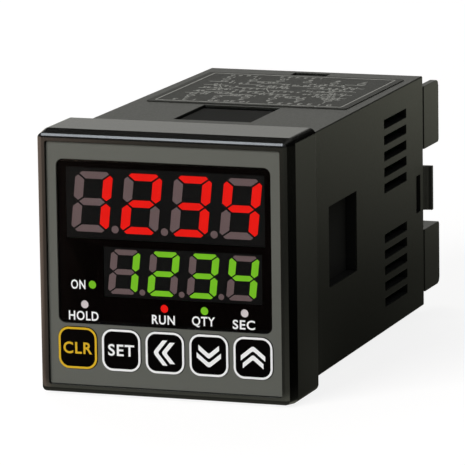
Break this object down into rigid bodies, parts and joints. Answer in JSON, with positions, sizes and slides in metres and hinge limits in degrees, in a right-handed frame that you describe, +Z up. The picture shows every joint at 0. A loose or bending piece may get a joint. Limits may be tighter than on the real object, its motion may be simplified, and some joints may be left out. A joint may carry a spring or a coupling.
{
  "type": "panel counter",
  "caption": "Square panel-mounting counter with two digit rows, indicator lamps and press keys on the front, a vented sleeve and screw terminals at the rear.",
  "frame": {"origin": "centre of the bezel's back face, in the middle of the panel cut-out", "axes": "+Y into the panel, towards the terminals; +Z up; +X to the right of a person in front of the keys"},
  "size_m": [0.048, 0.0984, 0.048],
  "materials": {
    "bezel_plastic": "fine satin",
    "sheet_grey": "matte printed film",
    "window_pane": "clear gloss",
    "mask_black": "matte",
    "gasket_rubber": "matte",
    "case_plastic": "fine grain",
    "label_film": "satin printed film",
    "terminal_plastic": "satin",
    "screw_steel": "bright plated",
    "clamp_steel": "bright plated",
    "terminal_brass": "plain",
    "board_laminate": "varnished",
    "display_black": "matte",
    "segment_red": "lit diffuser",
    "segment_green": "lit diffuser",
    "segment_dark": "unlit diffuser",
    "lamp_red": "lit diffuser",
    "lamp_green": "lit diffuser",
    "lamp_off": "unlit diffuser",
    "key_black": "satin",
    "switch_body": "matte",
    "plunger_white": "matte",
    "core_steel": "laminated",
    "winding_tape": "taped",
    "capacitor_sleeve": "shrink sleeve",
    "film_box": "moulded",
    "part_black": "moulded",
    "relay_cover": "moulded",
    "isolator_white": "moulded"
  },
  "bodies": {
    "housing": {"front_bezel": "bezel_plastic", "front_sheet": "sheet_grey", "display_window": "window_pane", "display_mask": "mask_black", "panel_gasket": "gasket_rubber", "case_sleeve": "case_plastic", "wiring_label": "label_film", "terminal_block": "terminal_plastic", "terminal_screws": "screw_steel", "terminal_clamps": "clamp_steel", "terminal_plates": "terminal_brass", "display_board": "board_laminate", "power_board": "board_laminate", "signal_board": "board_laminate", "rear_board": "board_laminate", "red_display": "display_black", "red_segments_lit": "segment_red", "red_segments_dark": "segment_dark", "green_display": "display_black", "green_segments_lit": "segment_green", "green_segments_dark": "segment_dark", "lamp_on": "lamp_green", "lamp_hold": "lamp_off", "lamp_run": "lamp_red", "lamp_count": "lamp_green", "lamp_time": "lamp_off", "transformer_core": "core_steel", "transformer_winding": "winding_tape", "main_capacitor": "capacitor_sleeve", "film_capacitor": "film_box", "rectifier": "part_black", "relay": "relay_cover", "isolators": "isolator_white", "processor": "part_black", "power_link": "part_black", "signal_link": "part_black", "switch_1": "switch_body", "switch_2": "switch_body", "switch_3": "switch_body", "switch_4": "switch_body", "switch_5": "switch_body"},
    "key_clear_button": {"key_clear": "key_black", "plunger_1": "plunger_white"},
    "key_set_button": {"key_set": "key_black", "plunger_2": "plunger_white"},
    "key_shift_button": {"key_shift": "key_black", "plunger_3": "plunger_white"},
    "key_down_button": {"key_down": "key_black", "plunger_4": "plunger_white"},
    "key_up_button": {"key_up": "key_black", "plunger_5": "plunger_white"}
  },
  "joints": [
    {"name": "key_clear_press", "type": "slide", "parent": "housing", "child": "key_clear_button", "axis": [0, 1, 0], "range_m": [0, 0.0003], "stiffness_N_per_m": 2500},
    {"name": "key_set_press", "type": "slide", "parent": "housing", "child": "key_set_button", "axis": [0, 1, 0], "range_m": [0, 0.0003], "stiffness_N_per_m": 2500},
    {"name": "key_shift_press", "type": "slide", "parent": "housing", "child": "key_shift_button", "axis": [0, 1, 0], "range_m": [0, 0.0003], "stiffness_N_per_m": 2500},
    {"name": "key_down_press", "type": "slide", "parent": "housing", "child": "key_down_button", "axis": [0, 1, 0], "range_m": [0, 0.0003], "stiffness_N_per_m": 2500},
    {"name": "key_up_press", "type": "slide", "parent": "housing", "child": "key_up_button", "axis": [0, 1, 0], "range_m": [0, 0.0003], "stiffness_N_per_m": 2500}
  ]
}
